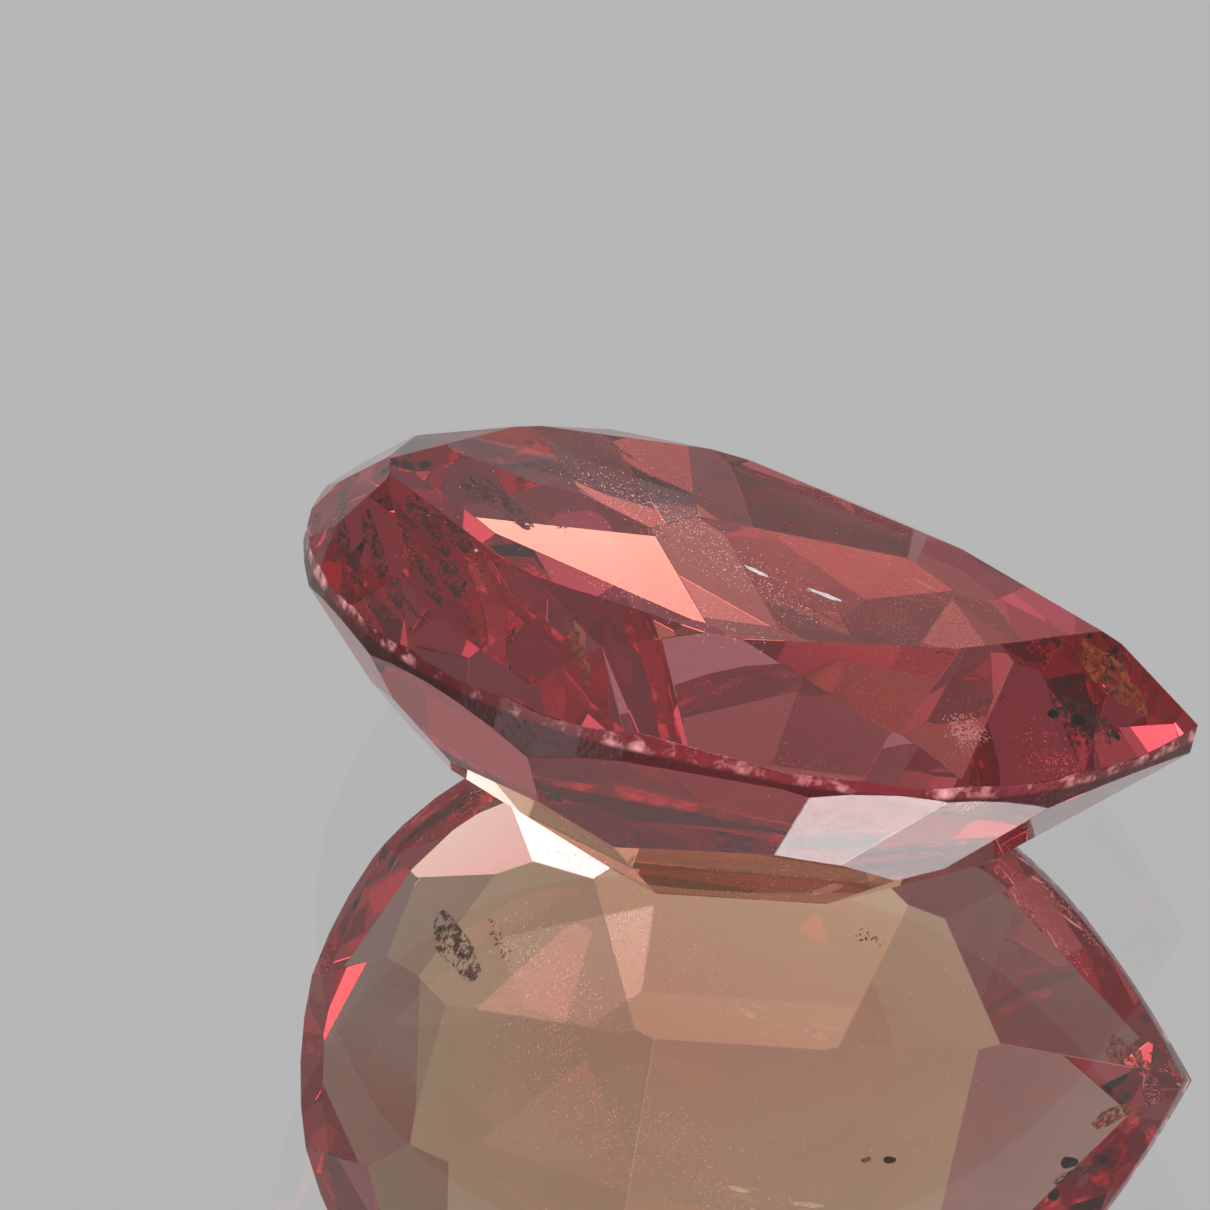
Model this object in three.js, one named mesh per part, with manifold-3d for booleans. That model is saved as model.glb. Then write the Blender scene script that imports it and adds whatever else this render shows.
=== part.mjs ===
// Pear cut padparadscha sapphire, one solid stone, in millimetres with +Z up.
//
// The stone is cut in its own frame first: u runs from the round end to the tip, v to the far side
// and w up through the table, with w = 0 on the lower edge of the girdle. Each facet is a flat cut
// at an azimuth (degrees from the tip, turning towards the far side) and a slope (degrees from the
// girdle plane). The finished stone is then laid on its resting facet, with the tip to the right.

import * as THREE from 'three';
import { mergeVertices } from 'three/addons/utils/BufferGeometryUtils.js';
import Module from 'manifold-3d';

const wasm = await Module();
wasm.setup();

// Driving dimensions of the outline, seen through the table.
const stoneLength = 8.15;
const stoneWidth = 5.95;
const roundEndRadius = stoneWidth / 2;
const tipReach = stoneLength - roundEndRadius;
const tipFullness = 3.1;
const roundEndSteps = 24;
const sideSteps = 14;

// Heights above the lower girdle edge, and depths below it.
const girdleThickness = 0.16;
const tableHeight = 0.9;
const blankDepth = 3.2;
const blankHeight = 1.4;

// The culet point and the keel that runs from it to the tip, as [u, v, w], and the points where
// the middle tier of the round end meets the tiers beside it.
const culet = [0.59, 0.32, -2.63];
const keelMiddle = [1.67, 0.24, -2.55];
const keelTowardsTip = [2.93, 0.24, -2.12];
const roundEndMiddle = [-2.02, 0, -0.95];
const roundEndNear = [-1.53, -1.05, -1.16];
const roundEndFar = [-1.53, 1.15, -1.16];

// Pavilion facets that start at the girdle, as [azimuth, slope, inset into the girdle].
const pavilionGirdleFacets = [
  [180, 43, 0], [152, 50, 0], [127, 52, 0], [103, 55, 0], [80, 57, 0], [58, 60, 0], [36, 58, 0],
  [-35, 50, 0], [-59, 52, 0.03], [-69.4, 54.5, 0.06], [-86, 54, 0], [-128, 50, 0], [-153, 50, 0],
];

// The facet that the stone lies on, and the other facets that meet on the culet, the keel and
// the middle tier, as [azimuth, slope, point on the facet].
const restingFacet = [70.8, 35.1, keelMiddle];
const pavilionMainFacets = [
  restingFacet,
  [44, 38.6, keelTowardsTip],
  [150, 32.5, culet],
  [186, 30.9, culet],
  [-121, 30.9, culet],
  [-75, 34.2, keelMiddle],
  [-44, 38.6, keelTowardsTip],
];
const roundEndFacets = [
  [180, 38.3, roundEndMiddle],
  [-148, 41, roundEndNear],
  [148, 41, roundEndFar],
];

// Crown facets on each side of the stone, as [azimuth, slope] from the upper girdle edge.
const crownMainFacets = [[50, 31.6], [83, 36], [122, 36], [156, 47]];
const crownHeadFacet = [180, 52];
const crownGirdleFacets = [[36, 41], [66, 42], [102, 44], [140, 50], [168, 58]];

// Star facets beside the table, as [azimuth, slope, distance of the table edge from the centre].
const starFacets = [[66, 23, 2.14], [103, 19, 1.84], [140, 23, 1.95]];

// How the stone lies: the tip's heading, measured in degrees from +X towards +Y.
const tipHeading = -8.5;

const facetColor = 0xb5606a;
const cutterSize = 24;

// The outline is a half circle at the round end. From the widest place to the tip its half width
// is stoneWidth / 2 * (1 - s ** tipFullness), where s is the share of tipReach.
function outlinePoints() {
  const points = [];
  for (let i = 0; i <= roundEndSteps; i++) {
    const angle = Math.PI / 2 + (Math.PI * i) / roundEndSteps;
    points.push(new THREE.Vector2(roundEndRadius * Math.cos(angle), (stoneWidth / 2) * Math.sin(angle)));
  }
  const side = [];
  for (let i = 1; i < sideSteps; i++) {
    const s = (i / sideSteps) ** (1 / (tipFullness - 1));
    side.push(new THREE.Vector2(tipReach * s, (stoneWidth / 2) * (1 - s ** tipFullness)));
  }
  for (const p of side) {
    points.push(new THREE.Vector2(p.x, -p.y));
  }
  points.push(new THREE.Vector2(tipReach, 0));
  points.push(...side.reverse());
  return points;
}

// A closed three.js geometry as a solid that can be cut.
function toSolid(geometry) {
  const bare = geometry.clone();
  bare.deleteAttribute('normal');
  bare.deleteAttribute('uv');
  const merged = mergeVertices(bare);
  return new wasm.Manifold(new wasm.Mesh({
    numProp: 3,
    vertProperties: new Float32Array(merged.attributes.position.array),
    triVerts: new Uint32Array(merged.index.array),
  }));
}

// The outward normal of a facet. side is 1 on the crown and -1 on the pavilion.
function facetNormal(azimuth, slope, side) {
  const a = THREE.MathUtils.degToRad(azimuth);
  const s = THREE.MathUtils.degToRad(slope);
  return new THREE.Vector3(Math.cos(a) * Math.sin(s), Math.sin(a) * Math.sin(s), side * Math.cos(s));
}

// The stone with everything outside the plane (normal, through point) taken off.
function cutFacet(stone, normal, point) {
  const cutter = new THREE.BoxGeometry(cutterSize, cutterSize, cutterSize);
  cutter.translate(0, 0, cutterSize / 2);
  cutter.applyQuaternion(new THREE.Quaternion().setFromUnitVectors(new THREE.Vector3(0, 0, 1), normal));
  const foot = normal.clone().multiplyScalar(normal.dot(point));
  cutter.translate(foot.x, foot.y, foot.z);
  return stone.subtract(toSolid(cutter));
}

// The point straight out at an azimuth that is as far out as the outline reaches in that
// direction, less the inset, at height w.
function girdlePoint(outline, azimuth, w, inset = 0) {
  const a = THREE.MathUtils.degToRad(azimuth);
  const reach = Math.max(...outline.map((p) => p.x * Math.cos(a) + p.y * Math.sin(a))) - inset;
  return new THREE.Vector3(reach * Math.cos(a), reach * Math.sin(a), w);
}

function cutStone() {
  const outline = outlinePoints();
  const blank = new THREE.ExtrudeGeometry(new THREE.Shape(outline), {
    depth: blankDepth + blankHeight,
    bevelEnabled: false,
  });
  blank.translate(0, 0, -blankDepth);
  let stone = toSolid(blank);

  for (const [azimuth, slope, inset] of pavilionGirdleFacets) {
    stone = cutFacet(stone, facetNormal(azimuth, slope, -1), girdlePoint(outline, azimuth, 0, inset));
  }
  for (const [azimuth, slope, point] of [...pavilionMainFacets, ...roundEndFacets]) {
    stone = cutFacet(stone, facetNormal(azimuth, slope, -1), new THREE.Vector3(...point));
  }

  stone = cutFacet(stone, new THREE.Vector3(0, 0, 1), new THREE.Vector3(0, 0, tableHeight));
  const fromGirdle = [crownHeadFacet];
  for (const [azimuth, slope] of [...crownMainFacets, ...crownGirdleFacets]) {
    fromGirdle.push([azimuth, slope], [-azimuth, slope]);
  }
  for (const [azimuth, slope] of fromGirdle) {
    const point = girdlePoint(outline, azimuth, girdleThickness);
    stone = cutFacet(stone, facetNormal(azimuth, slope, 1), point);
  }
  for (const [azimuth, slope, tableEdge] of starFacets) {
    for (const side of [1, -1]) {
      const a = THREE.MathUtils.degToRad(side * azimuth);
      const point = new THREE.Vector3(tableEdge * Math.cos(a), tableEdge * Math.sin(a), tableHeight);
      stone = cutFacet(stone, facetNormal(side * azimuth, slope, 1), point);
    }
  }
  return stone;
}

function toGeometry(solid) {
  const mesh = solid.getMesh();
  const geometry = new THREE.BufferGeometry();
  geometry.setAttribute('position', new THREE.BufferAttribute(new Float32Array(mesh.vertProperties), 3));
  geometry.setIndex(new THREE.BufferAttribute(new Uint32Array(mesh.triVerts), 1));
  return geometry;
}

// Turns the stone so that its resting facet faces down and its tip has the stated heading.
function layDown(geometry) {
  const down = new THREE.Vector3(0, 0, -1);
  const up = new THREE.Vector3(0, 0, 1);
  const tilt = new THREE.Quaternion().setFromUnitVectors(facetNormal(restingFacet[0], restingFacet[1], -1), down);
  const tip = new THREE.Vector3(1, 0, 0).applyQuaternion(tilt);
  const turnAngle = THREE.MathUtils.degToRad(tipHeading) - Math.atan2(tip.y, tip.x);
  const turn = new THREE.Quaternion().setFromAxisAngle(up, turnAngle);
  geometry.applyQuaternion(turn.multiply(tilt));
  geometry.computeBoundingBox();
  const box = geometry.boundingBox;
  const middle = box.getCenter(new THREE.Vector3());
  geometry.translate(-middle.x, -middle.y, -box.min.z);
  geometry.computeVertexNormals();
}

const geometry = toGeometry(cutStone());
layDown(geometry);

const sapphire = new THREE.Mesh(geometry, new THREE.MeshStandardMaterial({
  color: facetColor,
  roughness: 0.05,
  metalness: 0,
  flatShading: true,
}));
sapphire.name = 'pear_cut_sapphire';

const part = new THREE.Group();
part.add(sapphire);

export default part;
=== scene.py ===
"""A pear cut padparadscha sapphire lying on mirror glass, dressed around its CAD solid.

Sizes in the classes are millimetres. Places inside the stone are in its own frame: u runs from
the round end to the tip, v to the far side and w up through the table, with w = 0 on the lower
girdle edge. StoneFrame reads that frame from the CAD solid and turns places into metres in the
row's frame, where the stone rests on the floor with its tip to the right.
"""

import logging
import math
from dataclasses import dataclass
from enum import Enum
from typing import ClassVar

import bmesh
import bpy
import numpy as np
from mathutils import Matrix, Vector


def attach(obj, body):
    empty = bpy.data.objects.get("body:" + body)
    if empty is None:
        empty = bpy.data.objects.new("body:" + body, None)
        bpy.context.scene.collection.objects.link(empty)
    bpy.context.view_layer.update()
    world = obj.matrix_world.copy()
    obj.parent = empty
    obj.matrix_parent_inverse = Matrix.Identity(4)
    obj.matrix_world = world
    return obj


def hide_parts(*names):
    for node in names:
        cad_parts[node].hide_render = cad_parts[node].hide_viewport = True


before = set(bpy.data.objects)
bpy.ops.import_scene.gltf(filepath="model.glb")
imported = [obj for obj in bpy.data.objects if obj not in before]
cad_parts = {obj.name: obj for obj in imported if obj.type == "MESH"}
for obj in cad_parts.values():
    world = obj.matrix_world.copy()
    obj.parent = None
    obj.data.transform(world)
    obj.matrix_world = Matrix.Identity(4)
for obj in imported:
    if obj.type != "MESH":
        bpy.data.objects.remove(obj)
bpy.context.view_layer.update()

MM = 0.001
BODY = "root"
STONE_NODE = "pear_cut_sapphire"
WHITE = (1, 1, 1, 1)
BLACK = (0, 0, 0, 1)

log = logging.getLogger("sapphire_scene")


def unit(vector: np.ndarray) -> np.ndarray:
    """Return a vector, or each row of an array, at length one."""
    return vector / np.linalg.norm(vector, axis=-1, keepdims=True)


def new_object(name: str, mesh: bpy.types.Mesh) -> bpy.types.Object:
    """Put a mesh into the scene.

    Args:
        name: The object's name.
        mesh: Its mesh, already in its place in the row's frame.

    Returns:
        The new object, at the origin.
    """
    made = bpy.data.objects.new(name, mesh)
    bpy.context.scene.collection.objects.link(made)
    return made


def new_piece(name: str, mesh: bpy.types.Mesh, *materials: bpy.types.Material) -> bpy.types.Object:
    """Make a piece of the stone, which rides on its body.

    Args:
        name: The piece's name.
        mesh: Its mesh.
        materials: Its materials, in the order of the mesh's material numbers.

    Returns:
        The new piece, attached to its body.
    """
    for material in materials:
        mesh.materials.append(material)
    piece = new_object(name, mesh)
    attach(piece, BODY)
    log.info("%s: %d faces", name, len(mesh.polygons))
    return piece


def mesh_from_arrays(name: str, points: np.ndarray, faces: np.ndarray) -> bpy.types.Mesh:
    """Make a mesh from whole arrays.

    Args:
        name: The mesh's name.
        points: Places of the vertices in metres, one row each.
        faces: Vertex numbers, one row for each face, all with the same number of corners.

    Returns:
        The finished mesh.
    """
    corners = faces.shape[1]
    mesh = bpy.data.meshes.new(name)
    mesh.vertices.add(len(points))
    mesh.vertices.foreach_set("co", points.astype(np.float32).ravel())
    mesh.loops.add(faces.size)
    mesh.loops.foreach_set("vertex_index", faces.astype(np.int32).ravel())
    mesh.polygons.add(len(faces))
    mesh.polygons.foreach_set("loop_start", np.arange(0, faces.size, corners, dtype=np.int32))
    mesh.update(calc_edges=True)
    mesh.validate()
    return mesh


@dataclass(frozen=True)
class StoneFrame:
    """The stone's own frame as it lies in the row's frame, in metres."""

    origin: np.ndarray
    axes: np.ndarray

    @classmethod
    def from_facets(cls, mesh: bpy.types.Mesh, tip_reach: float, table_height: float) -> "StoneFrame":
        """Read the frame from the stone's mesh with whole facets.

        Args:
            mesh: The merged mesh, in which each facet is one polygon.
            tip_reach: How far the tip lies from the origin along u, in millimetres.
            table_height: How far the table lies above w = 0, in millimetres.

        Returns:
            The frame. w is the normal of the largest facet, the table. The crown is alike on
            both sides, so u runs from the middle of the table's corners to the tip, the vertex
            that lies furthest in +X.
        """
        table = max(mesh.polygons, key=lambda facet: facet.area)
        w = unit(np.array(table.normal))
        corners = np.array([mesh.vertices[i].co for i in table.vertices])
        points = np.array([vertex.co for vertex in mesh.vertices])
        tip = points[np.argmax(points[:, 0])]
        reach = tip - corners.mean(axis=0)
        u = unit(reach - w * (reach @ w))
        origin = tip - u * tip_reach * MM
        origin = origin + w * ((corners @ w).mean() - table_height * MM - origin @ w)
        return cls(origin=origin, axes=np.stack([u, np.cross(w, u), w]))

    def place(self, points: np.ndarray) -> np.ndarray:
        """Turn places in the stone's frame, in millimetres, into metres in the row's frame."""
        return self.origin + np.asarray(points, dtype=float) * MM @ self.axes


class NodeSheet:
    """Short ways to build one material's nodes."""

    def __init__(self, tree: bpy.types.NodeTree) -> None:
        """Keep the node tree that the methods add to."""
        self.tree = tree

    def add(self, kind: str, **values: object) -> bpy.types.Node:
        """Add a node and set its properties and inputs.

        Args:
            kind: The node's type, without the words ShaderNode.
            values: Properties by name, or inputs by name with a low line for each space.

        Returns:
            The new node.
        """
        node = self.tree.nodes.new("ShaderNode" + kind)
        for name, value in values.items():
            if hasattr(node, name):
                setattr(node, name, value)
            else:
                node.inputs[name.replace("_", " ")].default_value = value
        return node

    def link(self, output: bpy.types.NodeSocket, to: bpy.types.NodeSocket) -> None:
        """Join an output to an input."""
        self.tree.links.new(output, to)

    def blend(self, share: bpy.types.NodeSocket, first: bpy.types.NodeSocket,
              second: bpy.types.NodeSocket) -> bpy.types.NodeSocket:
        """Add a colour mix.

        Args:
            share: How much of the second colour there is.
            first: The first colour.
            second: The second colour.

        Returns:
            The mixed colour.
        """
        node = self.add("Mix", data_type="RGBA")
        for socket, source in zip((node.inputs[0], node.inputs[6], node.inputs[7]), (share, first, second)):
            self.link(source, socket)
        return node.outputs[2]

    def ramp(self, factor: bpy.types.NodeSocket, stops: list[tuple[float, tuple]]) -> bpy.types.NodeSocket:
        """Add a colour ramp.

        Args:
            factor: The value that it reads.
            stops: Places from 0 to 1 and their colours.

        Returns:
            Its colour output.
        """
        node = self.add("ValToRGB")
        elements = node.color_ramp.elements
        elements[0].position, elements[0].color = stops[0]
        elements[1].position, elements[1].color = stops[-1]
        for place, colour in stops[1:-1]:
            elements.new(place).color = colour
        self.link(factor, node.inputs["Fac"])
        return node.outputs["Color"]


def start_material(name: str) -> tuple[bpy.types.Material, NodeSheet, bpy.types.Node]:
    """Start a material.

    Args:
        name: Its name.

    Returns:
        The material, its node sheet and its Principled BSDF node.
    """
    material = bpy.data.materials.new(name)
    material.use_nodes = True
    sheet = NodeSheet(material.node_tree)
    return material, sheet, material.node_tree.nodes["Principled BSDF"]


class SharedGroup:
    """A node group that several finishes use, built on its first use.

    Attributes:
        NAME: The group's name.
        INPUTS: Each input's name, socket type and starting value, with None for the type's own.
        OUTPUT: The output's name and socket type.
    """

    NAME: str = ""
    INPUTS: tuple = ()
    OUTPUT: tuple = ()

    @classmethod
    def wire(cls, sheet: NodeSheet, given: bpy.types.bpy_prop_collection) -> bpy.types.NodeSocket:
        """Add the group's nodes.

        Args:
            sheet: The group's node sheet.
            given: The sockets that hold the group's inputs, by name.

        Returns:
            The socket that goes to its output.
        """
        raise NotImplementedError

    @classmethod
    def group(cls) -> bpy.types.NodeTree:
        """Return the group's tree."""
        made = bpy.data.node_groups.get(cls.NAME)
        if made:
            return made
        tree = bpy.data.node_groups.new(cls.NAME, "ShaderNodeTree")
        for name, kind, start in cls.INPUTS:
            socket = tree.interface.new_socket(name, in_out="INPUT", socket_type=kind)
            if start is not None:
                socket.default_value = start
        name, kind = cls.OUTPUT
        tree.interface.new_socket(name, in_out="OUTPUT", socket_type=kind)
        sheet = NodeSheet(tree)
        ends = tree.nodes.new("NodeGroupInput")
        out = tree.nodes.new("NodeGroupOutput")
        sheet.link(cls.wire(sheet, ends.outputs), out.inputs[name])
        return tree

    @classmethod
    def add(cls, sheet: NodeSheet, **values: object) -> bpy.types.NodeSocket:
        """Put the group in a tree.

        Args:
            sheet: The tree's node sheet.
            values: Its inputs by name, as sockets or values, with a low line for each space.

        Returns:
            The group's output.
        """
        node = sheet.tree.nodes.new("ShaderNodeGroup")
        node.node_tree = cls.group()
        for name, value in values.items():
            socket = node.inputs[name.replace("_", " ")]
            if isinstance(value, bpy.types.NodeSocket):
                sheet.link(value, socket)
            else:
                socket.default_value = value
        return node.outputs[cls.OUTPUT[0]]


class Blotches(SharedGroup):
    """Uneven spots: noise in Object coordinates, at a size in millimetres, raised between two levels."""

    NAME = "uneven_spots"
    INPUTS = (
        ("Size mm", "NodeSocketFloat", 0.5), ("Low", "NodeSocketFloat", 0.4),
        ("High", "NodeSocketFloat", 0.6), ("Detail", "NodeSocketFloat", 4.0),
        ("Shift", "NodeSocketFloat", 0.0),
    )
    OUTPUT = ("Value", "NodeSocketFloat")
    GRAIN = 0.6

    @classmethod
    def wire(cls, sheet: NodeSheet, given: bpy.types.bpy_prop_collection) -> bpy.types.NodeSocket:
        """Add the noise and its levels."""
        place = sheet.add("TexCoord")
        scale = sheet.add("Math", operation="DIVIDE")
        scale.inputs[0].default_value = 1.0 / MM
        sheet.link(given["Size mm"], scale.inputs[1])
        noise = sheet.add("TexNoise", noise_dimensions="4D", Roughness=cls.GRAIN)
        sheet.link(place.outputs["Object"], noise.inputs["Vector"])
        sheet.link(scale.outputs[0], noise.inputs["Scale"])
        sheet.link(given["Detail"], noise.inputs["Detail"])
        sheet.link(given["Shift"], noise.inputs["W"])
        level = sheet.add("MapRange")
        sheet.link(noise.outputs["Fac"], level.inputs["Value"])
        sheet.link(given["Low"], level.inputs["From Min"])
        sheet.link(given["High"], level.inputs["From Max"])
        return level.outputs["Result"]


class StoneHeight(SharedGroup):
    """How high a place p lies in the stone: (p - Origin) . Axis, with p in Object coordinates."""

    NAME = "stone_height"
    INPUTS = (("Axis", "NodeSocketVector", None), ("Origin", "NodeSocketVector", None))
    OUTPUT = ("Height", "NodeSocketFloat")

    @classmethod
    def wire(cls, sheet: NodeSheet, given: bpy.types.bpy_prop_collection) -> bpy.types.NodeSocket:
        """Add the difference and the dot product."""
        place = sheet.add("TexCoord")
        arm = sheet.add("VectorMath", operation="SUBTRACT")
        sheet.link(place.outputs["Object"], arm.inputs[0])
        sheet.link(given["Origin"], arm.inputs[1])
        dot = sheet.add("VectorMath", operation="DOT_PRODUCT")
        sheet.link(arm.outputs[0], dot.inputs[0])
        sheet.link(given["Axis"], dot.inputs[1])
        return dot.outputs["Value"]


class ColourZones(SharedGroup):
    """The colour of the crystal's zones on each facet.

    The rough grew in zones: a pale yellowish one around the culet and a pink one above it. The crown facets
    show the pink one and the flat pavilion facets the pale one. Steep pavilion facets look along both. On
    the near side and towards the round end they are tinted deep red and dark instead, painted shade for the
    dark band there. The table looks straight through and adds none.

    The group reads the height h = (p - Origin) . Axis, the slant s = |n . Axis| and the reach
    r = (p - Origin) . Across of the surface. Its colour is white where s is over TABLE_SLANT,
    else Crown where h is over Edge, else Steep, which turns into Low as s goes through
    FLAT_SLANT. Steep itself turns into Near as r goes through NEAR_REACH, in millimetres.
    """

    NAME = "colour_zones"
    INPUTS = (
        ("Axis", "NodeSocketVector", None), ("Across", "NodeSocketVector", None),
        ("Origin", "NodeSocketVector", None), ("Crown", "NodeSocketColor", None),
        ("Low", "NodeSocketColor", None), ("Steep", "NodeSocketColor", None),
        ("Near", "NodeSocketColor", None), ("Edge", "NodeSocketFloat", None),
    )
    OUTPUT = ("Colour", "NodeSocketColor")
    TABLE_SLANT = 0.97
    FLAT_SLANT = (0.7, 0.8)
    # Reach over which the steep facets go into the painted shade of the near side.
    NEAR_REACH = (-0.8, -1.3)
    ACROSS = (0.5, 0.87)

    @classmethod
    def wire(cls, sheet: NodeSheet, given: bpy.types.bpy_prop_collection) -> bpy.types.NodeSocket:
        """Add the zones."""
        surface = sheet.add("NewGeometry")
        facing = sheet.add("VectorMath", operation="DOT_PRODUCT")
        sheet.link(surface.outputs["Normal"], facing.inputs[0])
        sheet.link(given["Axis"], facing.inputs[1])
        slant = sheet.add("Math", operation="ABSOLUTE")
        sheet.link(facing.outputs["Value"], slant.inputs[0])
        above = sheet.add("Math", operation="GREATER_THAN")
        height = StoneHeight.add(sheet, Axis=given["Axis"], Origin=given["Origin"])
        sheet.link(height, above.inputs[0])
        sheet.link(given["Edge"], above.inputs[1])
        steepest, flattest = cls.FLAT_SLANT
        flat = sheet.add("MapRange", interpolation_type="SMOOTHSTEP", From_Min=steepest, From_Max=flattest)
        sheet.link(slant.outputs[0], flat.inputs["Value"])
        table = sheet.add("Math", operation="GREATER_THAN")
        table.inputs[1].default_value = cls.TABLE_SLANT
        sheet.link(slant.outputs[0], table.inputs[0])
        white = sheet.add("RGB")
        white.outputs[0].default_value = WHITE
        # Painted shade: the steep facets on the near side take the dark Near colour.
        start, full = cls.NEAR_REACH
        near = sheet.add("MapRange", From_Min=start * MM, From_Max=full * MM)
        reach = StoneHeight.add(sheet, Axis=given["Across"], Origin=given["Origin"])
        sheet.link(reach, near.inputs["Value"])
        steep = sheet.blend(near.outputs["Result"], given["Steep"], given["Near"])
        below = sheet.blend(flat.outputs["Result"], steep, given["Low"])
        side = sheet.blend(above.outputs[0], below, given["Crown"])
        return sheet.blend(table.outputs[0], side, white.outputs[0])

    @classmethod
    def on_stone(cls, sheet: NodeSheet, place: StoneFrame, **values: object) -> bpy.types.NodeSocket:
        """Put the group in a material of the stone.

        Args:
            sheet: The material's node sheet.
            place: The stone's frame: Axis is its w, and Across is u and v, each times its ACROSS.
            values: The group's colours and its edge height, in metres, by name.

        Returns:
            The group's colour.
        """
        along, aside = cls.ACROSS
        across = along * place.axes[0] + aside * place.axes[1]
        return cls.add(sheet, Axis=tuple(place.axes[2]), Across=tuple(across), Origin=tuple(place.origin),
                       **values)


@dataclass(frozen=True)
class PolishedCorundum:
    """Clear, polished corundum that takes up green and blue light on the way through.

    Attributes:
        tint: Colour that is left after the depth named by density, used for the absorption.
        density: Absorption for each metre of the way.
        crown: Base colour of the crown facets.
        low: Base colour of the flat pavilion facets, where light enters.
        steep: Base colour of the steep pavilion facets, where light enters.
        near: Base colour of those on the near side and towards the round end, dark red painted shade.
        girdle_middle: Height that divides the crown from the pavilion.
        index: Index of refraction.
        rub_size: Size of the slightly rubbed patches of the polish, in millimetres.
        rub_levels: Levels of the noise where a patch starts and is full.
        rub: Roughness in the middle of a rubbed patch.
    """

    tint: tuple = (0.95, 0.385, 0.49, 1.0)
    density: float = 400.0
    crown: tuple = (0.56, 0.44, 0.40, 1.0)
    low: tuple = (0.72, 1.0, 0.335, 1.0)
    steep: tuple = (0.54, 0.46, 0.29, 1.0)
    # Painted shade for the dark band on the near side.
    near: tuple = (0.52, 0.045, 0.052, 1.0)
    girdle_middle: float = 0.08
    index: float = 1.77
    rub_size: float = 1.4
    rub_levels: tuple = (0.52, 0.72)
    rub: float = 0.006

    def make(self, place: StoneFrame) -> bpy.types.Material:
        """Build the material.

        Args:
            place: The stone's frame.

        Returns:
            The finished material.
        """
        material, sheet, shader = start_material("polished_corundum")
        shader.inputs["Transmission Weight"].default_value = 1.0
        shader.inputs["IOR"].default_value = self.index
        edge = self.girdle_middle * MM
        # The Near colour is painted shade on the steep facets of the near side.
        entering = ColourZones.on_stone(sheet, place, Crown=self.crown, Low=self.low, Steep=self.steep,
                                        Near=self.near, Edge=edge)
        leaving = ColourZones.on_stone(sheet, place, Crown=self.crown, Low=WHITE, Steep=WHITE,
                                       Near=WHITE, Edge=edge)
        side = sheet.add("NewGeometry")
        sheet.link(sheet.blend(side.outputs["Backfacing"], entering, leaving), shader.inputs["Base Color"])
        start, full = self.rub_levels
        patches = Blotches.add(sheet, Size_mm=self.rub_size, Low=start, High=full)
        rub = sheet.add("Math", operation="MULTIPLY")
        rub.inputs[1].default_value = self.rub
        sheet.link(patches, rub.inputs[0])
        sheet.link(rub.outputs[0], shader.inputs["Roughness"])
        self.absorb(sheet)
        return material

    def absorb(self, sheet: NodeSheet) -> None:
        """Add the absorption to a material of the stone."""
        inside = sheet.add("VolumeAbsorption", Color=self.tint, Density=self.density)
        sheet.link(inside.outputs[0], sheet.tree.nodes["Material Output"].inputs["Volume"])


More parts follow.
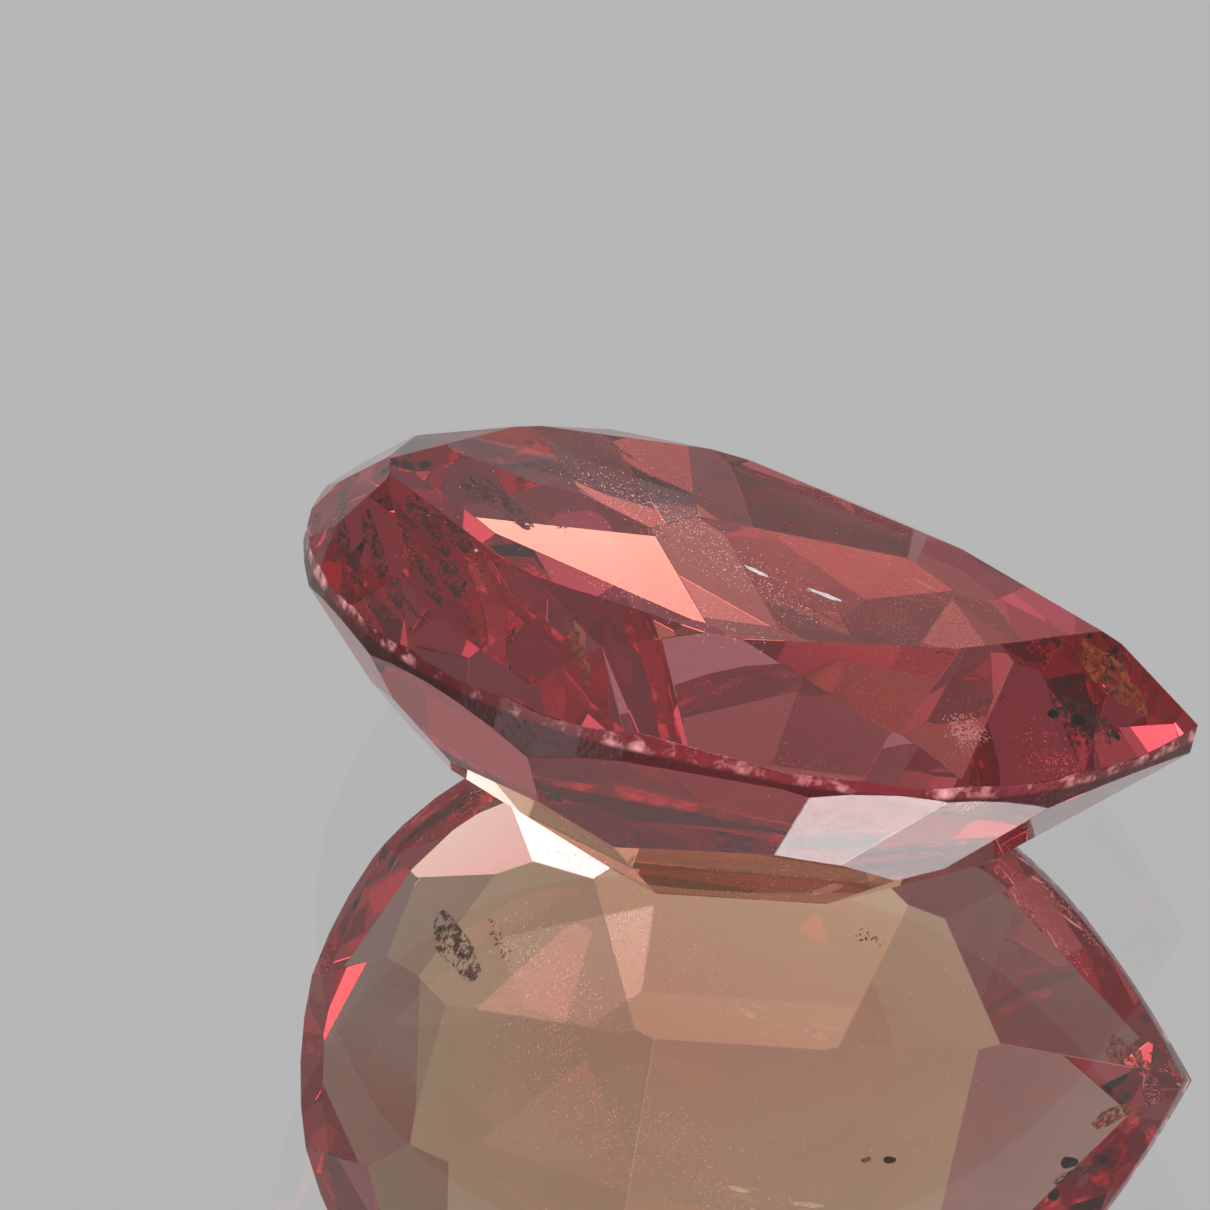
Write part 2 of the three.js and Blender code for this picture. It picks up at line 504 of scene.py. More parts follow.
@dataclass(frozen=True)
class GroundGirdle:
    """The girdle, ground matt and left unpolished, with small nicks, a painted lit upper band over a
    painted shaded lower band, and painted highlights that glow.

    Attributes:
        roughness: Its lowest and highest roughness.
        nick_size: Size of its nicks, in millimetres.
        nick_levels: Levels of the noise where a nick starts and is full.
        nick_depth: Height that the bump gives them, in millimetres.
        nick_strength: Strength of that bump.
        bright: Base colours of the upper part, plain and in a nick, lightened as painted light.
        deep: Base colours of the lower part, plain and in a nick, darkened as painted shade.
        shade: Heights where the painted shade of the lower part ends and the painted light of the upper
            part starts.
        painted_highlight_size: Size of the painted highlights, emission that stands in for the soft light
            the girdle scatters, in millimetres.
        painted_highlight_levels: Levels of the noise where a painted highlight starts and is full.
        painted_highlight: Colour of the painted highlights.
        painted_highlight_glow: How brightly the painted highlights glow.
    """

    roughness: tuple = (0.154, 0.286)
    nick_size: float = 0.05
    nick_levels: tuple = (0.35, 0.7)
    nick_depth: float = 0.006
    nick_strength: float = 0.5
    # Painted light and shade: the upper band is lightened and the lower band darkened by height.
    bright: tuple = ((0.70, 0.44, 0.46, 1), (0.45, 0.16, 0.18, 1))
    deep: tuple = ((0.12, 0.02, 0.025, 1), (0.05, 0.008, 0.01, 1))
    shade: tuple = (0.04, 0.10)
    # Painted highlights, which glow by emission on the upper band.
    painted_highlight_size: float = 0.22
    painted_highlight_levels: tuple = (0.50, 0.74)
    painted_highlight: tuple = (1.0, 0.50, 0.50, 1.0)
    painted_highlight_glow: float = 0.9

    def make(self, clear: PolishedCorundum, place: StoneFrame) -> bpy.types.Material:
        """Build the material.

        Args:
            clear: The polished finish, whose index and absorption the girdle shares.
            place: The stone's frame.

        Returns:
            The finished material.
        """
        material, sheet, shader = start_material("ground_girdle")
        shader.inputs["Transmission Weight"].default_value = 1.0
        shader.inputs["IOR"].default_value = clear.index
        start, full = self.nick_levels
        nicks = Blotches.add(sheet, Size_mm=self.nick_size, Low=start, High=full, Shift=3.0)
        # Painted light and shade: the upper band of the girdle takes the lit colours and the lower band the
        # shaded ones.
        low, high = (height * MM for height in self.shade)
        upper = sheet.add("MapRange", interpolation_type="SMOOTHSTEP", From_Min=low, From_Max=high)
        height = StoneHeight.add(sheet, Axis=tuple(place.axes[2]), Origin=tuple(place.origin))
        sheet.link(height, upper.inputs["Value"])
        bright, deep = (sheet.ramp(nicks, list(enumerate(pair))) for pair in (self.bright, self.deep))
        sheet.link(sheet.blend(upper.outputs["Result"], deep, bright), shader.inputs["Base Color"])
        smooth, coarse = self.roughness
        rough = sheet.add("MapRange", To_Min=smooth, To_Max=coarse)
        sheet.link(nicks, rough.inputs["Value"])
        sheet.link(rough.outputs["Result"], shader.inputs["Roughness"])
        bump = sheet.add("Bump", Strength=self.nick_strength, Distance=self.nick_depth * MM)
        sheet.link(nicks, bump.inputs["Height"])
        sheet.link(bump.outputs["Normal"], shader.inputs["Normal"])
        # Painted highlights: emission in the upper band stands in for the soft light that the girdle would
        # scatter.
        start, full = self.painted_highlight_levels
        painted_highlight_spots = Blotches.add(sheet, Size_mm=self.painted_highlight_size, Low=start, High=full, Detail=6.0, Shift=5.0)
        painted_highlight_share = sheet.add("Math", operation="MULTIPLY")
        sheet.link(painted_highlight_spots, painted_highlight_share.inputs[0])
        sheet.link(upper.outputs["Result"], painted_highlight_share.inputs[1])
        sheet.link(sheet.ramp(painted_highlight_share.outputs[0], [(0.0, BLACK), (1.0, self.painted_highlight)]),
                   shader.inputs["Emission Color"])
        shader.inputs["Emission Strength"].default_value = self.painted_highlight_glow
        clear.absorb(sheet)
        return material


@dataclass(frozen=True)
class InclusionFinish:
    """The finish of something that grew inside the crystal.

    Attributes:
        name: The material's name.
        dark: Colour in its deep spots.
        light: Colour in its bright spots.
        spot_size: Size of the spots, in millimetres.
        roughness: Its roughness.
        holes: How much of a film is open, from 0, closed, to 1.
        painted_glow: Strength of its emission in its own colours, painted light that stands in for the
            light it would catch inside the stone.
        SPOT_LEVELS: Levels of the noise where a bright spot starts and is full.
        BUMP_STRENGTH: Strength of the spots' bump.
        BUMP_SHARE: Height of that bump over the spots' size.
        HOLE_SHARE: Size of the holes over the spots' size.
        HOLE_EDGE: How far below and above the holes' level of the noise their edge fades.
    """

    SPOT_LEVELS: ClassVar[tuple] = (0.38, 0.62)
    BUMP_STRENGTH: ClassVar[float] = 0.4
    BUMP_SHARE: ClassVar[float] = 0.2
    HOLE_SHARE: ClassVar[float] = 0.6
    HOLE_EDGE: ClassVar[tuple] = (0.04, 0.06)

    name: str
    dark: tuple
    light: tuple
    spot_size: float
    roughness: float
    holes: float = 0.0
    painted_glow: float = 0.0

    def make(self) -> bpy.types.Material:
        """Build the material and return it."""
        material, sheet, shader = start_material(self.name)
        start, full = self.SPOT_LEVELS
        spots = Blotches.add(sheet, Size_mm=self.spot_size, Low=start, High=full)
        colour = sheet.ramp(spots, [(0.0, self.dark), (1.0, self.light)])
        sheet.link(colour, shader.inputs["Base Color"])
        # Painted light: the spots' colours also glow by emission, so the inclusion shines though no lamp
        # lights it there.
        sheet.link(colour, shader.inputs["Emission Color"])
        shader.inputs["Emission Strength"].default_value = self.painted_glow
        shader.inputs["Roughness"].default_value = self.roughness
        rise = self.spot_size * MM * self.BUMP_SHARE
        bump = sheet.add("Bump", Strength=self.BUMP_STRENGTH, Distance=rise)
        sheet.link(spots, bump.inputs["Height"])
        sheet.link(bump.outputs["Normal"], shader.inputs["Normal"])
        if self.holes > 0.0:
            middle = start + (full - start) * self.holes
            below, above = self.HOLE_EDGE
            film = Blotches.add(sheet, Size_mm=self.spot_size * self.HOLE_SHARE, Low=middle - below,
                                High=middle + above, Shift=7.0)
            sheet.link(film, shader.inputs["Alpha"])
        return material


# painted_glow gives each finish emission in its own colours, painted light for the silk, the cloud, the
# stain and the dark film.
SILK = InclusionFinish("rutile_silk", (0.74, 0.43, 0.40, 1), (1.0, 0.77, 0.73, 1), 0.02, 0.25, painted_glow=1.0)
CLOUD = InclusionFinish("pale_cloud", (0.62, 0.28, 0.27, 1), (0.90, 0.52, 0.48, 1), 0.03, 0.5, painted_glow=0.6)
# Painted glints: near white and glowing, in place of the light that healed cracks reflect.
PAINTED_GLINT = InclusionFinish("painted_glint_film", (0.70, 0.72, 0.80, 1), (1.0, 0.97, 0.97, 1), 0.06, 0.15, painted_glow=0.7)
IRON_STAIN = InclusionFinish("iron_stain", (0.20, 0.03, 0.008, 1), (0.82, 0.22, 0.035, 1),
                             0.09, 0.5, holes=0.4, painted_glow=0.28)
DARK_FILM = InclusionFinish("dark_film", (0.07, 0.026, 0.02, 1), (0.26, 0.12, 0.085, 1),
                            0.10, 0.5, holes=0.55, painted_glow=0.16)
DARK_CRYSTAL = InclusionFinish("dark_crystal", (0.006, 0.004, 0.003, 1), (0.04, 0.02, 0.012, 1), 0.05, 0.35)


class FacetFinish(Enum):
    """How a face of the stone was left, with the number of its material."""

    POLISHED = 0
    GROUND = 1


@dataclass
class CutStone:
    """The faceted stone itself, a merged copy of the CAD solid with worn facet edges.

    Attributes:
        tip_reach: How far the tip lies from the origin along u.
        table_height: How far the table lies above the lower girdle edge.
        merge_distance: Vertices closer than this are one.
        same_facet: Faces that turn less than this belong to one facet, in degrees.
        edge_wear: Width of the worn line along each facet edge.
        worn_turn: Edges where the surface turns more than this are worn, in degrees.
        girdle_slant: The girdle's faces stand this close to square on the table, as a cosine.
    """

    tip_reach: float = 5.175
    table_height: float = 0.9
    merge_distance: float = 0.006
    same_facet: float = 0.2
    edge_wear: float = 0.008
    worn_turn: float = 4.0
    girdle_slant: float = 0.02

    def merged_mesh(self) -> bpy.types.Mesh:
        """Return a copy of the CAD mesh in which each facet is one polygon."""
        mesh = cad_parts[STONE_NODE].data.copy()
        mesh.materials.clear()
        edit = bmesh.new()
        edit.from_mesh(mesh)
        bmesh.ops.remove_doubles(edit, verts=edit.verts, dist=self.merge_distance * MM)
        bmesh.ops.dissolve_limit(edit, angle_limit=math.radians(self.same_facet), verts=edit.verts,
                                 edges=edit.edges)
        edit.to_mesh(mesh)
        edit.free()
        mesh.shade_flat()
        return mesh

    def build(self, clear: PolishedCorundum, girdle: GroundGirdle) -> StoneFrame:
        """Make the stone.

        Args:
            clear: Finish of the facets.
            girdle: Finish of the girdle.

        Returns:
            The stone's own frame, for what lies inside it.
        """
        mesh = self.merged_mesh()
        place = StoneFrame.from_facets(mesh, self.tip_reach, self.table_height)
        normals = np.empty(len(mesh.polygons) * 3)
        mesh.polygons.foreach_get("normal", normals)
        upright = np.abs(normals.reshape(-1, 3) @ place.axes[2]) < self.girdle_slant
        finish = np.where(upright, FacetFinish.GROUND.value, FacetFinish.POLISHED.value)
        mesh.polygons.foreach_set("material_index", finish.astype(np.int32))
        piece = new_piece("sapphire_stone", mesh, clear.make(place), girdle.make(clear, place))
        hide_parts(STONE_NODE)
        wear = piece.modifiers.new("worn_edges", "BEVEL")
        wear.width = self.edge_wear * MM
        wear.segments = 1
        wear.limit_method = "ANGLE"
        wear.angle_limit = math.radians(self.worn_turn)
        return place


@dataclass
class SpeckCloud:
    """A cloud of very small crystals, each an octahedron, spread along a line.

    Attributes:
        name: The piece's name.
        start: One end of the line in the stone's frame.
        end: The other end.
        reach: How far the specks spread from the line along u, v and w.
        count: How many specks there are.
        size: Smallest and largest half length of a speck.
        slim: Width of a speck over its length.
        seed: Start of the random draws.
    """

    name: str
    start: tuple
    end: tuple
    reach: tuple
    count: int
    size: tuple
    slim: float
    seed: int

    def build(self, place: StoneFrame, finish: bpy.types.Material) -> None:
        """Make the cloud.

        Args:
            place: The stone's frame.
            finish: Material of the specks.

        A speck's middle is start + (end - start) * s + reach * d * r ** (1 / 2), with d a random
        direction and s and r from 0 to 1, so the cloud thins outwards. Its corners are its
        middle plus and minus three square axes of the lengths size, size * slim and size * slim.
        """
        draw = np.random.default_rng(self.seed)
        away = unit(draw.normal(size=(self.count, 3))) * np.sqrt(draw.random((self.count, 1)))
        start, end = np.array(self.start), np.array(self.end)
        middles = start + (end - start) * draw.random((self.count, 1)) + np.array(self.reach) * away
        long_axis = unit(draw.normal(size=(self.count, 3)))
        side = unit(np.cross(long_axis, draw.normal(size=(self.count, 3))))
        third = np.cross(long_axis, side)
        low, high = self.size
        length = low * (high / low) ** draw.random((self.count, 1))
        arms = np.stack([long_axis * length, side * length * self.slim, third * length * self.slim], axis=1)
        corners = middles[:, None, :] + np.concatenate([arms, -arms], axis=1)
        shell = np.array([[0, 1, 2], [1, 3, 2], [3, 4, 2], [4, 0, 2],
                          [1, 0, 5], [3, 1, 5], [4, 3, 5], [0, 4, 5]])
        faces = (np.arange(self.count)[:, None, None] * 6 + shell).reshape(-1, 3)
        mesh = mesh_from_arrays(self.name, place.place(corners.reshape(-1, 3)), faces)
        new_piece(self.name, mesh, finish)


@dataclass
class DarkCrystals:
    """A group of small rounded crystals of another mineral.

    Attributes:
        name: The piece's name.
        middles: Their middles in the stone's frame.
        sizes: Their half sizes.
        stretch: Stretch of each along u, v and w.
        seed: Start of the random draws.
        rings: Rings of faces from pole to pole.
        sides: Faces in a ring.
        cuts: How many flat faces are cut off each.
        cut_depth: Least and greatest distance of such a face from the middle, over the size.
    """

    name: str
    middles: tuple
    sizes: tuple
    stretch: tuple
    seed: int
    rings: int = 12
    sides: int = 18
    cuts: int = 9
    cut_depth: tuple = (0.6, 0.95)

    def build(self, place: StoneFrame, finish: bpy.types.Material) -> None:
        """Make the group.

        Args:
            place: The stone's frame.
            finish: Material of the crystals.

        In the direction d a crystal's surface lies at size / max(1, d . k / a), with the largest
        value over a few random directions k and depths a: a ball with flat faces cut off.
        """
        draw = np.random.default_rng(self.seed)
        turn = np.linspace(0.0, 2.0 * np.pi, self.sides, endpoint=False)
        down = np.linspace(0.0, np.pi, self.rings + 1)[1:-1]
        ring = np.stack([np.outer(np.sin(down), np.cos(turn)), np.outer(np.sin(down), np.sin(turn)),
                         np.outer(np.cos(down), np.ones_like(turn))], axis=-1).reshape(-1, 3)
        ways = np.concatenate([ring, [[0.0, 0.0, 1.0], [0.0, 0.0, -1.0]]])
        quads = self.quad_faces()
        points, faces = [], []
        for middle, size in zip(self.middles, self.sizes):
            cuts = unit(draw.normal(size=(self.cuts, 3)))
            depths = draw.uniform(*self.cut_depth, self.cuts)
            reach = 1.0 / np.maximum(1.0, (ways @ cuts.T / depths).max(axis=1))
            faces.append(quads + len(ways) * len(points))
            points.append(np.array(middle) + ways * reach[:, None] * size * np.array(self.stretch))
        mesh = mesh_from_arrays(self.name, place.place(np.concatenate(points)), np.concatenate(faces))
        new_piece(self.name, mesh, finish)

    def quad_faces(self) -> np.ndarray:
        """Return the triangles of one closed ball of rings, as vertex numbers."""
        rows = self.rings - 1
        here = np.arange(self.sides)
        beside = (here + 1) % self.sides
        step = np.arange(rows - 1)[:, None] * self.sides
        a, b = step + here, step + beside
        c, d = b + self.sides, a + self.sides
        top, bottom = rows * self.sides, rows * self.sides + 1
        last = (rows - 1) * self.sides
        return np.concatenate([
            np.stack([a, d, c], axis=-1).reshape(-1, 3), np.stack([a, c, b], axis=-1).reshape(-1, 3),
            np.stack([np.full_like(here, top), here, beside], axis=-1),
            np.stack([np.full_like(here, bottom), last + beside, last + here], axis=-1),
        ])


@dataclass
class HealedCrack:
    """A thin healed crack, a closed film with a ragged outline and a wavy face.

    Attributes:
        name: The piece's name.
        middle: Its middle in the stone's frame.
        along: The direction of its length.
        facing: The direction that it faces.
        length: Its half length.
        width: Its half width.
        thickness: Its thickness in the middle.
        seed: Start of the random draws.
        rings: Rings of faces from the middle to the outline.
        sides: Faces in a ring.
        raggedness: Largest height of the outline's waves over its reach.
        waviness: Height of the face's waves over its half width.
        WAVES: How many waves each term of the outline has.
        PHASES: How far the waves' phases spread, close to a full turn.
    """

    WAVES: ClassVar[np.ndarray] = np.arange(2, 9)
    PHASES: ClassVar[float] = 6.28

    name: str
    middle: tuple
    along: tuple
    facing: tuple
    length: float
    width: float
    thickness: float
    seed: int
    rings: int = 14
    sides: int = 72
    raggedness: float = 0.16
    waviness: float = 0.05

    def build(self, place: StoneFrame, finish: bpy.types.Material) -> None:
        """Make the film.

        Args:
            place: The stone's frame.
            finish: Material of the film.

        With r from 0 to 1 and the angle t, a point of the film is
        middle + q(t) * r * (length * cos t * along + width * sin t * across)
        + (wave + side * thickness / 2 * (1 - r ** 2)) * facing, where q is 1 plus a few waves
        around the outline and side is 1 on one face and -1 on the other.
        """
        draw = np.random.default_rng(self.seed)
        facing = unit(np.array(self.facing, dtype=float))
        along = np.array(self.along, dtype=float)
        along = unit(along - facing * (along @ facing))
        across = np.cross(facing, along)
        t = np.linspace(0.0, 2.0 * np.pi, self.sides, endpoint=False)
        r = np.linspace(0.0, 1.0, self.rings + 1)[1:]
        waves = self.WAVES[:, None]
        heights = draw.uniform(-self.raggedness, self.raggedness, waves.shape)
        phases = draw.uniform(0, self.PHASES, waves.shape)
        ragged = 1.0 + (heights / np.sqrt(waves) * np.cos(waves * t + phases)).sum(axis=0)
        reach = r[:, None] * ragged
        x, y = reach * np.cos(t), reach * np.sin(t)
        flat = x[..., None] * self.length * along + y[..., None] * self.width * across
        flat = flat + self.wave(x, y)[..., None] * facing
        swell = (self.thickness / 2 * (1.0 - r ** 2))[:, None, None] * facing
        hub = (self.wave(0.0, 0.0) * facing)[None, :]
        tip = self.thickness / 2 * facing
        upper = (flat + swell).reshape(-1, 3)
        lower = (flat - swell)[:-1].reshape(-1, 3)
        points = np.concatenate([upper, lower, hub + tip, hub - tip]) + np.array(self.middle)
        new_piece(self.name, mesh_from_arrays(self.name, place.place(points), self.film_faces()), finish)

    def wave(self, x: np.ndarray | float, y: np.ndarray | float) -> np.ndarray | float:
        """Return how far the film lies off its plane, in millimetres, from the place along and
        across it over its half length and half width."""
        shape = np.sin(3.1 * x + 1.0) + np.cos(4.3 * y - 0.6) + np.sin(5.0 * x * y)
        return self.waviness * self.width * shape

    def film_faces(self) -> np.ndarray:
        """Return the triangles of the film's two faces, which share the outer ring."""
        here = np.arange(self.sides)
        beside = (here + 1) % self.sides
        upper = np.arange(self.rings)[:, None] * self.sides + here
        lower = upper + self.rings * self.sides
        lower[-1] = upper[-1]
        top = self.rings * self.sides + (self.rings - 1) * self.sides
        parts = []
        for rows, way, hub in ((upper, 1, top), (lower, -1, top + 1)):
            a, b = rows[:-1][:, here], rows[:-1][:, beside]
            c, d = rows[1:][:, beside], rows[1:][:, here]
            sheets = [
                np.stack([a, d, c], axis=-1).reshape(-1, 3), np.stack([a, c, b], axis=-1).reshape(-1, 3),
                np.stack([np.full_like(here, hub), rows[0][here], rows[0][beside]], axis=-1),
            ]
            parts += [sheet[:, ::way] for sheet in sheets]
        return np.concatenate(parts)


class Inclusions:
    """What grew inside the crystal: silk, a pale cloud, iron stained cracks, dark crystals, and healed
    cracks and specks that glow as painted glints.
    """

    def build(self, place: StoneFrame) -> None:
        """Make all of them.

        Args:
            place: The stone's frame.
        """
        silk, cloud, painted_glint = SILK.make(), CLOUD.make(), PAINTED_GLINT.make()
        stain, film, dark = IRON_STAIN.make(), DARK_FILM.make(), DARK_CRYSTAL.make()
        clouds = (
            (SpeckCloud("silk_band", (-0.5, 0.95, 0.76), (1.35, -0.95, 0.72), (0.55, 0.42, 0.1),
                        800, (0.005, 0.016), 0.45, 11), silk),
            (SpeckCloud("silk_in_front", (-0.6, -1.3, 0.7), (0.9, -1.6, 0.66), (0.4, 0.3, 0.12),
                        260, (0.004, 0.014), 0.45, 20), silk),
            (SpeckCloud("scattered_silk", (-1.9, 0.0, 0.45), (2.6, -0.1, 0.4), (0.9, 1.3, 0.25),
                        180, (0.004, 0.012), 0.45, 21), silk),
            # Painted glints: these specks glow near white.
            (SpeckCloud("painted_glint_specks", (-1.56, -1.26, 0.78), (-1.5, -1.2, 0.8), (0.03, 0.03, 0.01),
                        3, (0.014, 0.022), 0.8, 22), painted_glint),
            (SpeckCloud("pale_cloud_near_tip", (2.85, -1.6, 0.2), (3.0, -1.4, 0.1), (0.2, 0.18, 0.18),
                        420, (0.005, 0.017), 0.8, 12), cloud),
            (SpeckCloud("rust_specks_far_side", (-0.9, 1.25, -1.35), (-0.7, 0.95, -1.5), (0.07, 0.1, 0.04),
                        26, (0.012, 0.034), 0.7, 23), stain),
            (SpeckCloud("rust_specks_by_keel", (2.45, 1.2, -1.5), (2.75, 1.15, -1.5), (0.08, 0.08, 0.04),
                        16, (0.012, 0.03), 0.7, 24), stain),
        )
        cracks = (
            (HealedCrack("stained_crack_at_tip", (4.22, -0.12, 0.42), (0.5, -0.1, -0.3), (0.25, -0.75, 0.6),
                         0.38, 0.2, 0.012, 13), stain),
            (HealedCrack("stained_crack_in_front", (-0.5, -2.05, 0.40), (0.31, -0.63, -0.34),
                         (0.7, 0.5, -0.3), 0.36, 0.07, 0.01, 14), stain),
            (HealedCrack("dark_film_at_tip", (4.0, -0.7, 0.2), (0.9, 0.1, -0.3), (0.2, -0.75, 0.6),
                         0.34, 0.16, 0.012, 25), film),
            (HealedCrack("dark_film_far_side", (-1.24, 1.02, -1.22), (0.59, -0.63, -0.61),
                         (-0.21, 0.16, -0.37), 0.47, 0.15, 0.012, 26), film),
            # Painted glints: these two healed cracks glow near white in place of the light they reflect.
            (HealedCrack("painted_glint_crack_under_table", (0.97, -0.35, 0.74), (1.0, -0.5, 0.0),
                         (0.1, -0.5, 0.86), 0.12, 0.03, 0.004, 27), painted_glint),
            (HealedCrack("painted_glint_crack_beside_it", (1.6, -0.52, 0.74), (1.0, -0.4, 0.1),
                         (0.1, -0.5, 0.86), 0.15, 0.035, 0.004, 28), painted_glint),
        )
        crystals = (
            (DarkCrystals("dark_crystals_at_tip",
                          ((3.72, -0.85, 0.25), (4.3, -0.62, 0.1), (3.95, -0.6, 0.05)),
                          (0.07, 0.06, 0.09), (1.0, 0.8, 0.9), 15), dark),
            (DarkCrystals("dark_crystal_near_keel", ((2.77, -0.7, -1.42),),
                          (0.05,), (1.3, 0.8, 0.8), 16), dark),
            (DarkCrystals("rust_crystal_near_keel", ((2.59, -0.7, -1.52),),
                          (0.028,), (1.2, 0.9, 0.9), 17), stain),
        )
        for grown, finish in (*clouds, *cracks, *crystals):
            grown.build(place, finish)


@dataclass
class MirrorGlass:
    """The floor, a sheet of mirror glass: clear in front, silvered behind.

    Attributes:
        thickness: Thickness of the glass.
        air_gap: Gap under the stone, so the two surfaces don't fall together.
        size: Side of the square sheet.
        index: Index of refraction of the glass.
        silver: How much light the silver sends back.
    """

    thickness: float = 2.0
    air_gap: float = 0.01
    size: float = 1200.0
    index: float = 1.5
    silver: float = 0.93

    def build(self) -> None:
        half, top, bottom = self.size / 2, -self.air_gap, -self.air_gap - self.thickness
        square = np.array([[-half, -half], [half, -half], [half, half], [-half, half]])
        points = np.concatenate([np.column_stack([square, np.full(4, z)]) for z in (top, bottom)]) * MM
        faces = np.array([[0, 1, 2, 3], [7, 6, 5, 4],
                          [1, 0, 4, 5], [2, 1, 5, 6], [3, 2, 6, 7], [0, 3, 7, 4]])
        mesh = mesh_from_arrays("mirror_glass_floor", points, faces)
        mesh.materials.append(self.front())
        mesh.materials.append(self.back())
        mesh.polygons[1].material_index = 1
        new_object("mirror_glass_floor", mesh)

    def front(self) -> bpy.types.Material:
        """Return the clear glass in front."""
        material, _, shader = start_material("floor_glass")
        shader.inputs["Transmission Weight"].default_value = 1.0
        shader.inputs["IOR"].default_value = self.index
        shader.inputs["Roughness"].default_value = 0.0
        shader.inputs["Base Color"].default_value = WHITE
        return material

    def back(self) -> bpy.types.Material:
        """Return the silver behind."""
        material, _, shader = start_material("floor_silver")
        shader.inputs["Metallic"].default_value = 1.0
        shader.inputs["Roughness"].default_value = 0.0
        shader.inputs["Base Color"].default_value = (self.silver, self.silver, self.silver, 1)
        return material


def direction(azimuth: float, elevation: float) -> Vector:
    """Return a direction by its heading from +X towards +Y and its height, in degrees."""
    a, e = math.radians(azimuth), math.radians(elevation)
    return Vector((math.cos(a) * math.cos(e), math.sin(a) * math.cos(e), math.sin(e)))


@dataclass(frozen=True)
class Card:
    """A round card in the tent of light, lighter or darker than the tent.

    Attributes:
        azimuth: Heading of its middle from +X towards +Y, in degrees.
        elevation: Height of its middle, in degrees.
        radius: Half its width, in degrees.
        soft: Width of its soft edge, in degrees.
        light: Its brightness over the tent's.
    """

    azimuth: float
    elevation: float
    radius: float
    soft: float
    light: float


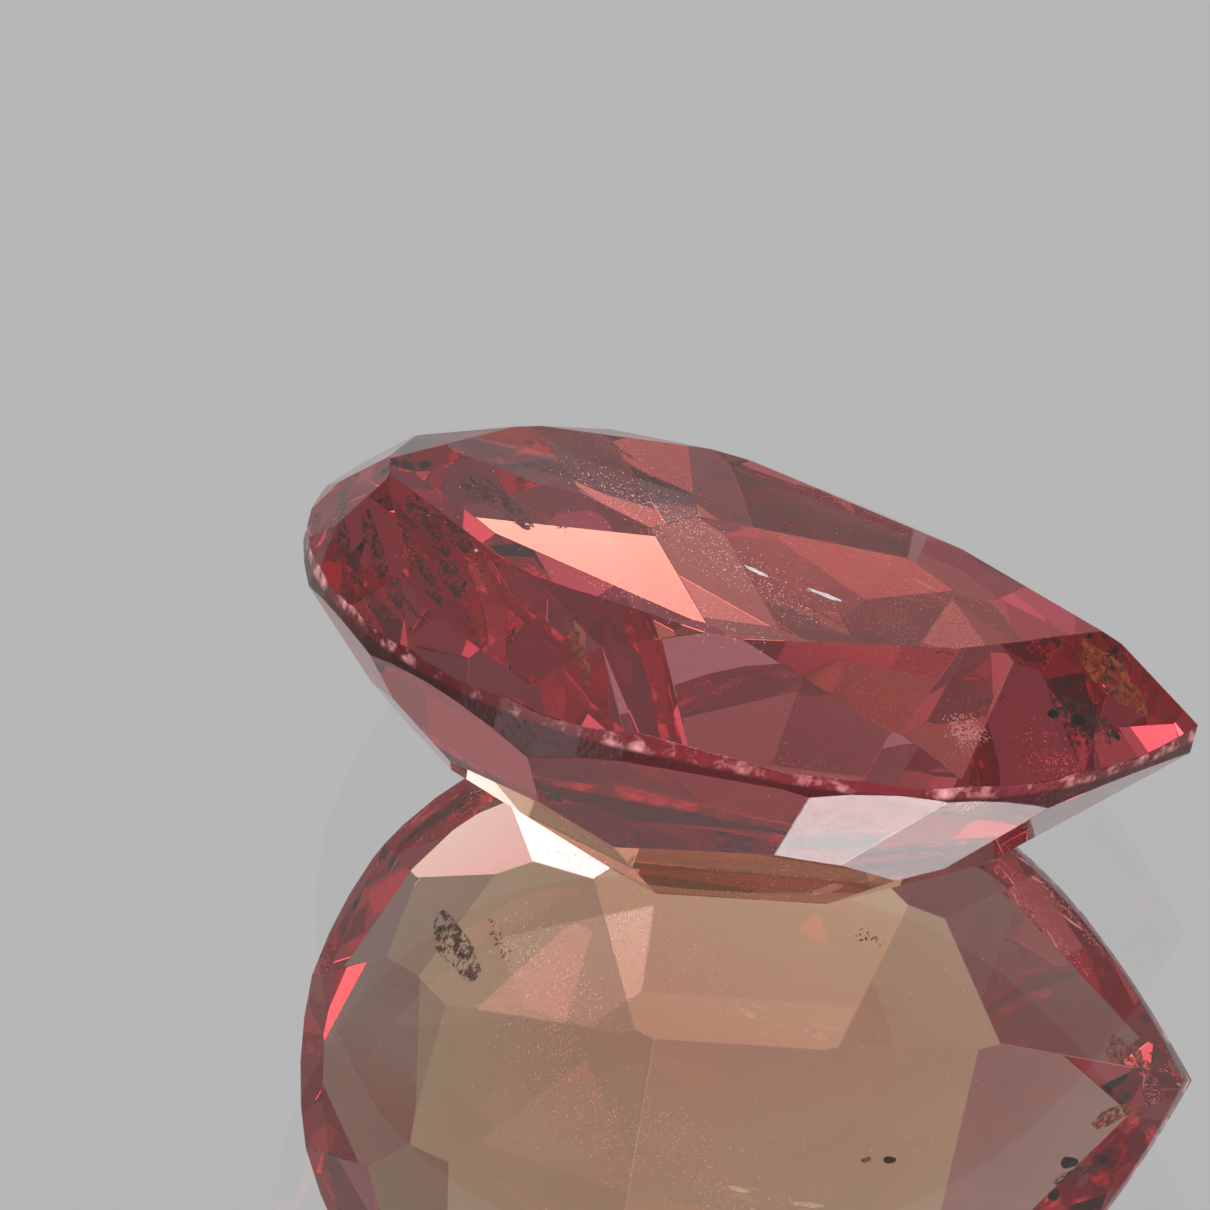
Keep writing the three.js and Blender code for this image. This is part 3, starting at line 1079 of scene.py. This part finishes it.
@dataclass
class Studio:
    """The tent of even light, its cards, the soft light and the camera.

    Attributes:
        tent_light: Strength of the tent.
        cards: Cards in the tent.
        lamp_middle: How far the soft light's middle lies along +X and +Y, for each step away.
        lamp_distance: Its distance, in millimetres.
        lamp_size: Its width and height, in millimetres.
        lamp_radiance: Its brightness.
        view_elevation: How far the camera looks down, in degrees.
        view_width: Width of the picture at the stone, in millimetres.
        view_middle: What the middle of the picture shows, to the right and up, in millimetres.
        lens: Focal length, in millimetres.
        sensor: Width of the camera's sensor, in millimetres.
        sight: Nearest and furthest distance that the camera sees, in metres.
        bounces: How often light may turn inside the stone and the glass.
        open_bounces: How often it may go through a film's holes.
    """

    tent_light: float = 0.27
    cards: tuple = (
        Card(125.0, 62.0, 30.0, 30.0, 1.85),
        Card(156.0, 79.0, 8.0, 7.0, 2.5),
        Card(90.0, 57.0, 5.0, 6.0, 1.87),
        Card(-118.0, 14.0, 13.0, 6.0, 4.2),
        Card(-60.0, 35.0, 14.0, 10.0, 0.55),
        Card(-122.0, 55.0, 13.0, 6.0, 0.5),
        Card(-60.0, 70.0, 15.0, 9.0, 2.2),
        Card(-26.0, 62.0, 8.0, 12.0, 5.6),
        Card(-31.0, 80.0, 5.0, 4.0, 6.5),
        Card(-80.0, 67.5, 2.5, 2.0, 7.0),
        Card(-90.0, 51.0, 13.5, 1.5, 0.03),
    )
    lamp_middle: tuple = (0.18, -0.27)
    lamp_distance: float = 900.0
    lamp_size: tuple = (275.0, 255.0)
    lamp_radiance: float = 2.9
    view_elevation: float = 57.0
    view_width: float = 10.89
    view_middle: tuple = (-1.302, 1.505)
    lens: float = 600.0
    sensor: float = 36.0
    sight: tuple = (0.001, 10.0)
    bounces: int = 32
    open_bounces: int = 16

    def build(self) -> None:
        """Make the world, the soft light and the camera."""
        self.build_tent()
        self.build_lamp()
        self.build_camera()
        scene = bpy.context.scene
        scene.view_settings.view_transform = "Standard"
        scene.cycles.max_bounces = self.bounces
        scene.cycles.glossy_bounces = self.bounces
        scene.cycles.transmission_bounces = self.bounces
        scene.cycles.transparent_max_bounces = self.open_bounces
        log.info("studio: tent, %d cards, soft light and camera", len(self.cards))

    def build_tent(self) -> None:
        """Make the world.

        Its strength is the tent's, and inside a card, whose middle is the direction c, it goes
        to the card's as the direction d comes from d . c = cos(radius + soft) to cos(radius).
        """
        world = bpy.data.worlds.new("light_tent")
        bpy.context.scene.world = world
        world.use_nodes = True
        sheet = NodeSheet(world.node_tree)
        back = world.node_tree.nodes["Background"]
        place = sheet.add("TexCoord")
        light = sheet.add("Value")
        light.outputs[0].default_value = self.tent_light
        level = light.outputs[0]
        for card in self.cards:
            near = sheet.add("VectorMath", operation="DOT_PRODUCT")
            near.inputs[1].default_value = direction(card.azimuth, card.elevation)
            sheet.link(place.outputs["Generated"], near.inputs[0])
            inside = sheet.add("MapRange", interpolation_type="SMOOTHSTEP")
            inside.inputs["From Min"].default_value = math.cos(math.radians(card.radius + card.soft))
            inside.inputs["From Max"].default_value = math.cos(math.radians(card.radius))
            sheet.link(near.outputs["Value"], inside.inputs["Value"])
            blend = sheet.add("Mix", data_type="FLOAT")
            sheet.link(inside.outputs["Result"], blend.inputs["Factor"])
            sheet.link(level, blend.inputs["A"])
            blend.inputs["B"].default_value = self.tent_light * card.light
            level = blend.outputs["Result"]
        sheet.link(level, back.inputs["Strength"])
        back.inputs["Color"].default_value = WHITE

    def build_lamp(self) -> None:
        """Make the soft light, a rectangle that faces the stone."""
        lamp = bpy.data.lights.new("soft_light", "AREA")
        lamp.shape = "RECTANGLE"
        lamp.size, lamp.size_y = (side * MM for side in self.lamp_size)
        lamp.energy = self.lamp_radiance * math.pi * lamp.size * lamp.size_y
        right, back = self.lamp_middle
        towards = Vector((right, back, math.sqrt(1.0 - right ** 2 - back ** 2)))
        holder = new_object("soft_light", lamp)
        holder.location = towards * self.lamp_distance * MM
        holder.rotation_mode = "QUATERNION"
        holder.rotation_quaternion = Vector((0.0, 0.0, 1.0)).rotation_difference(towards)

    def build_camera(self) -> None:
        """Make the camera, which looks along +Y and down."""
        data = bpy.data.cameras.new("camera")
        camera = new_object("camera", data)
        bpy.context.scene.camera = camera
        data.lens, data.sensor_width = self.lens, self.sensor
        data.clip_start, data.clip_end = self.sight
        back = direction(-90.0, self.view_elevation)
        up = Vector((0.0, -back.z * back.y / abs(back.y), abs(back.y)))
        right_shift, up_shift = (shift * MM for shift in self.view_middle)
        target = Vector((right_shift, 0.0, 0.0)) + up * up_shift
        distance = self.view_width * MM * self.lens / self.sensor
        camera.location = target + back * distance
        camera.rotation_mode = "QUATERNION"
        camera.rotation_quaternion = (-back).to_track_quat("-Z", "Y")


def main() -> None:
    """Build the studio, the stone and what lies inside it."""
    logging.basicConfig(level=logging.INFO, format="%(name)s: %(message)s")
    Studio().build()
    MirrorGlass().build()
    place = CutStone().build(PolishedCorundum(), GroundGirdle())
    Inclusions().build(place)
    bpy.context.view_layer.update()


if __name__ == "__main__":
    main()
